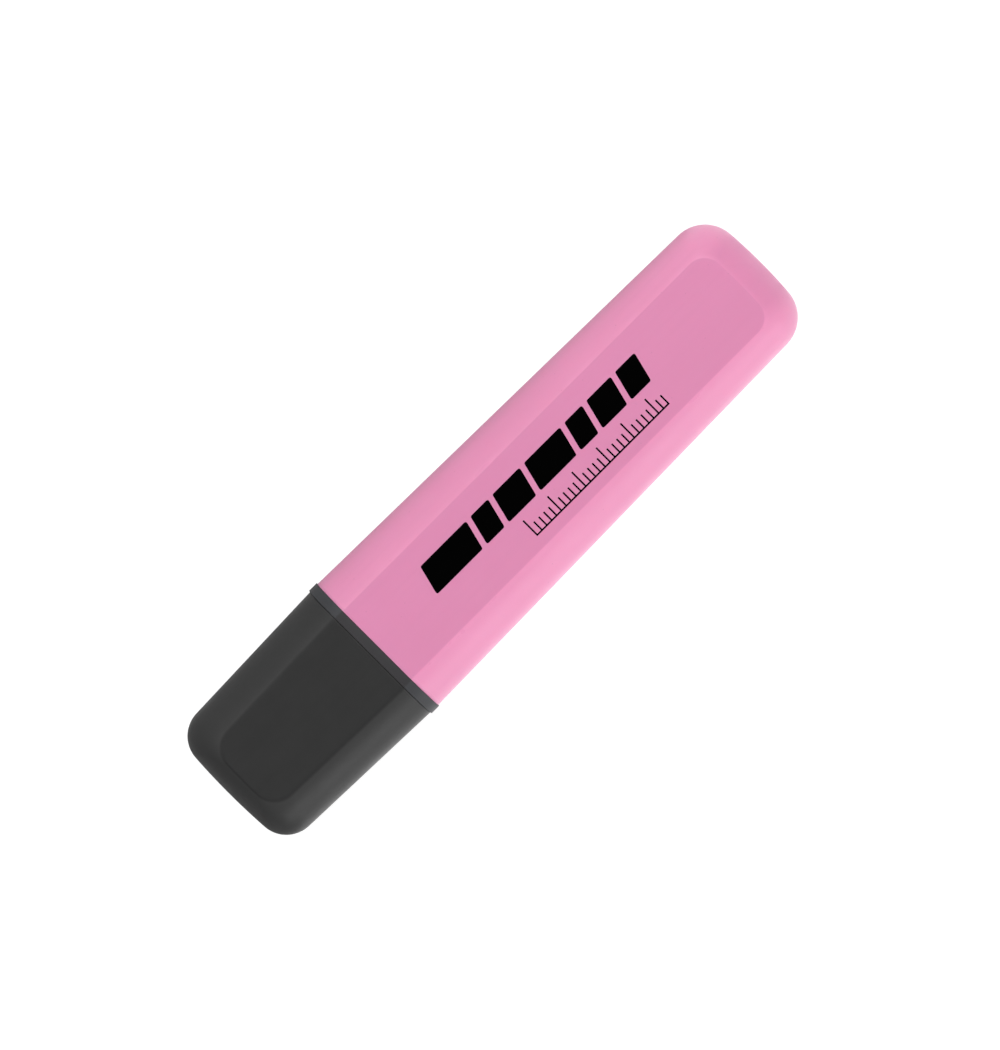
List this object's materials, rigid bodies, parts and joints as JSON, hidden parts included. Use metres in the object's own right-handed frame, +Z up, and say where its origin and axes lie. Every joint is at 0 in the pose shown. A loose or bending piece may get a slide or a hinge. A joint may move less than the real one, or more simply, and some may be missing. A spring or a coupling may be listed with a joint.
{
  "type": "highlighter",
  "caption": "Flat-bodied text highlighter with a rounded pink barrel, a collared nib holder, a chisel fibre nib over an ink reservoir, and a dark push-fit cap with a sealing liner.",
  "frame": {"origin": "on the surface that the capped pen lies on, under the centre of its bounding box", "axes": "+X along the pen towards the writing tip and the cap's closed end, +Y across the broad faces, +Z up out of the upper broad face"},
  "size_m": [0.11, 0.0254, 0.0156],
  "materials": {
    "barrel_plastic": "satin moulded polypropylene, fluorescent pink",
    "holder_plastic": "satin moulded polypropylene, dark grey",
    "nib_fibre": "ground polyester fibre soaked with pink ink",
    "reservoir_fibre": "bundled polyester fibre soaked with pink ink",
    "clear_film": "thin wrapping film",
    "cap_plastic": "satin moulded polypropylene, charcoal",
    "liner_plastic": "soft moulded polyethylene, near black",
    "print_ink": "pad-printed black ink"
  },
  "bodies": {
    "pen": {"barrel": "barrel_plastic", "nib_holder": "holder_plastic", "nib": "nib_fibre", "ink_reservoir": "reservoir_fibre", "reservoir_film": "clear_film"},
    "cap": {"cap": "cap_plastic", "inner_cap": "liner_plastic"}
  },
  "joints": [
    {"name": "cap_slide", "type": "slide", "parent": "pen", "child": "cap", "axis": [1, 0, 0], "range_m": [0, 0.04]}
  ]
}
